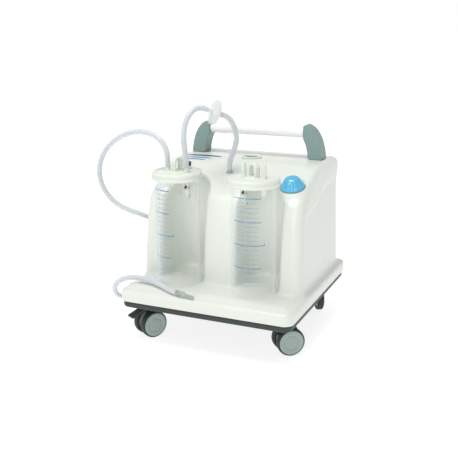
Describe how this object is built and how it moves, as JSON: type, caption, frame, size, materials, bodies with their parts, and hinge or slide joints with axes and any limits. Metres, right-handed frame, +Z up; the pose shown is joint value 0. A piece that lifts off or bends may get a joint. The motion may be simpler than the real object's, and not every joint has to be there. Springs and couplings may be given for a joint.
{
  "type": "portable surgical suction pump",
  "caption": "Mobile suction pump: moulded housing on a castered tray with graduated jars in front alcoves, vacuum gauge, regulator knob, filter, hoses and carrying handle.",
  "frame": {"origin": "On the floor, under the middle of the tray.", "axes": "+Z is up, +Y points to the back of the machine, away from the jars, and +X is to the right of someone facing the jars."},
  "size_m": [0.6067, 0.476, 0.616],
  "materials": {
    "arm_grey": "satin",
    "bar_silver": "satin",
    "base_dark": "matte",
    "black_rubber": "matte",
    "board_blue": "matte",
    "dial_white": "matte",
    "filter_clear": "clear",
    "housing_white": "gloss",
    "jar_clear": "clear",
    "knob_blue": "gloss",
    "lens_clear": "clear",
    "lid_cream": "satin",
    "motor_metal": "satin",
    "silicone": "translucent",
    "steel": "brushed",
    "wheel_grey": "satin"
  },
  "bodies": {
    "base": {"housing_shell": "housing_white", "base_plate": "base_dark", "rear_panel": "housing_white", "mains_inlet": "black_rubber", "switch_bezel": "black_rubber", "handle_arm_right": "arm_grey", "handle_arm_left": "arm_grey", "handle_bar": "bar_silver", "gauge_case": "base_dark", "gauge_dial": "dial_white", "gauge_lens": "lens_clear", "regulator_valve": "steel", "vacuum_inlet": "base_dark", "pump_motor": "motor_metal", "pump_head": "steel", "pump_mount": "steel", "exhaust_silencer": "base_dark", "run_capacitor": "dial_white", "control_board": "board_blue", "inlet_tube": "silicone", "gauge_tube": "silicone"},
    "knob": {"regulator_knob": "knob_blue"},
    "needle": {"gauge_needle": "base_dark"},
    "rocker": {"switch_rocker": "base_dark"},
    "fuse_drawer": {"fuse_drawer": "base_dark"},
    "motor_rotor": {"motor_shaft": "steel", "cooling_fan": "base_dark"},
    "jar_1": {"jar_1": "jar_clear"},
    "lid_1": {"lid_1": "lid_cream", "lid_gasket_1": "black_rubber", "float_cage_1": "filter_clear", "patient_hose": "silicone", "patient_connector": "filter_clear", "link_hose_jar_side": "silicone", "link_hose_inlet_side": "silicone", "filter_inlet_half": "filter_clear", "filter_outlet_half": "filter_clear"},
    "float_1": {"float_1": "black_rubber"},
    "jar_2": {"jar_2": "jar_clear"},
    "lid_2": {"lid_2": "lid_cream", "lid_gasket_2": "black_rubber", "float_cage_2": "filter_clear"},
    "float_2": {"float_2": "black_rubber"},
    "port_cap": {"port_cap": "black_rubber"},
    "caster_front_left": {"caster_fork_front_left": "base_dark"},
    "wheel_front_left_a": {"wheel_front_left_a": "wheel_grey"},
    "wheel_front_left_b": {"wheel_front_left_b": "wheel_grey"},
    "pedal_front_left": {"brake_pedal_front_left": "base_dark"},
    "caster_front_right": {"caster_fork_front_right": "base_dark"},
    "wheel_front_right_a": {"wheel_front_right_a": "wheel_grey"},
    "wheel_front_right_b": {"wheel_front_right_b": "wheel_grey"},
    "caster_rear_left": {"caster_fork_rear_left": "base_dark"},
    "wheel_rear_left_a": {"wheel_rear_left_a": "wheel_grey"},
    "wheel_rear_left_b": {"wheel_rear_left_b": "wheel_grey"},
    "caster_rear_right": {"caster_fork_rear_right": "base_dark"},
    "wheel_rear_right_a": {"wheel_rear_right_a": "wheel_grey"},
    "wheel_rear_right_b": {"wheel_rear_right_b": "wheel_grey"},
    "pedal_rear_right": {"brake_pedal_rear_right": "base_dark"}
  },
  "joints": [
    {"name": "regulator_turn", "type": "hinge", "parent": "base", "child": "knob", "pos_m": [0.17, -0.054, 0.4085], "axis": [0, -0.2924, 0.9563], "range_deg": [-300, 0]},
    {"name": "gauge_reading", "type": "hinge", "parent": "base", "child": "needle", "pos_m": [0, 0.097, 0.4377], "axis": [0, 0, 1], "range_deg": [-270, 0]},
    {"name": "mains_rocker", "type": "hinge", "parent": "base", "child": "rocker", "pos_m": [-0.06, 0.2156, 0.2], "axis": [-1, 0, 0], "range_deg": [0, 13]},
    {"name": "fuse_drawer_slide", "type": "slide", "parent": "base", "child": "fuse_drawer", "axis": [0, 1, 0], "range_m": [0, 0.018]},
    {"name": "motor_spin", "type": "hinge", "parent": "base", "child": "motor_rotor", "pos_m": [0, 0.11, 0.195], "axis": [1, 0, 0], "continuous": true},
    {"name": "jar_1_lift", "type": "slide", "parent": "base", "child": "jar_1", "axis": [0, 0, 1], "range_m": [0, 0.12]},
    {"name": "lid_1_lift", "type": "slide", "parent": "jar_1", "child": "lid_1", "axis": [0, 0, 1], "range_m": [0, 0.08]},
    {"name": "float_1_rise", "type": "slide", "parent": "lid_1", "child": "float_1", "axis": [0, 0, 1], "range_m": [0, 0.028]},
    {"name": "jar_2_lift", "type": "slide", "parent": "base", "child": "jar_2", "axis": [0, 0, 1], "range_m": [0, 0.12]},
    {"name": "lid_2_lift", "type": "slide", "parent": "jar_2", "child": "lid_2", "axis": [0, 0, 1], "range_m": [0, 0.08]},
    {"name": "float_2_rise", "type": "slide", "parent": "lid_2", "child": "float_2", "axis": [0, 0, 1], "range_m": [0, 0.028]},
    {"name": "port_cap_pull", "type": "slide", "parent": "lid_1", "child": "port_cap", "axis": [0, 0, 1], "range_m": [0, 0.015]},
    {"name": "swivel_front_left", "type": "hinge", "parent": "base", "child": "caster_front_left", "pos_m": [-0.171, -0.145, 0.09], "axis": [0, 0, 1], "continuous": true},
    {"name": "roll_front_left_a", "type": "hinge", "parent": "caster_front_left", "child": "wheel_front_left_a", "pos_m": [-0.1835, -0.16665, 0.036], "axis": [0.866, -0.5, 0], "continuous": true},
    {"name": "roll_front_left_b", "type": "hinge", "parent": "caster_front_left", "child": "wheel_front_left_b", "pos_m": [-0.1835, -0.16665, 0.036], "axis": [0.866, -0.5, 0], "continuous": true},
    {"name": "brake_front_left", "type": "hinge", "parent": "caster_front_left", "child": "pedal_front_left", "pos_m": [-0.18, -0.16059, 0.081], "axis": [0.866, -0.5, 0], "range_deg": [0, 6]},
    {"name": "swivel_front_right", "type": "hinge", "parent": "base", "child": "caster_front_right", "pos_m": [0.171, -0.145, 0.09], "axis": [0, 0, 1], "continuous": true},
    {"name": "roll_front_right_a", "type": "hinge", "parent": "caster_front_right", "child": "wheel_front_right_a", "pos_m": [0.19015, -0.12893, 0.036], "axis": [-0.6428, 0.766, 0], "continuous": true},
    {"name": "roll_front_right_b", "type": "hinge", "parent": "caster_front_right", "child": "wheel_front_right_b", "pos_m": [0.19015, -0.12893, 0.036], "axis": [-0.6428, 0.766, 0], "continuous": true},
    {"name": "swivel_rear_left", "type": "hinge", "parent": "base", "child": "caster_rear_left", "pos_m": [-0.171, 0.15, 0.09], "axis": [0, 0, 1], "continuous": true},
    {"name": "roll_rear_left_a", "type": "hinge", "parent": "caster_rear_left", "child": "wheel_rear_left_a", "pos_m": [-0.171, 0.175, 0.036], "axis": [-1, 0, 0], "continuous": true},
    {"name": "roll_rear_left_b", "type": "hinge", "parent": "caster_rear_left", "child": "wheel_rear_left_b", "pos_m": [-0.171, 0.175, 0.036], "axis": [-1, 0, 0], "continuous": true},
    {"name": "swivel_rear_right", "type": "hinge", "parent": "base", "child": "caster_rear_right", "pos_m": [0.171, 0.15, 0.09], "axis": [0, 0, 1], "continuous": true},
    {"name": "roll_rear_right_a", "type": "hinge", "parent": "caster_rear_right", "child": "wheel_rear_right_a", "pos_m": [0.1585, 0.17165, 0.036], "axis": [-0.866, -0.5, 0], "continuous": true},
    {"name": "roll_rear_right_b", "type": "hinge", "parent": "caster_rear_right", "child": "wheel_rear_right_b", "pos_m": [0.1585, 0.17165, 0.036], "axis": [-0.866, -0.5, 0], "continuous": true},
    {"name": "brake_rear_right", "type": "hinge", "parent": "caster_rear_right", "child": "pedal_rear_right", "pos_m": [0.162, 0.16559, 0.081], "axis": [-0.866, -0.5, 0], "range_deg": [0, 6]}
  ]
}
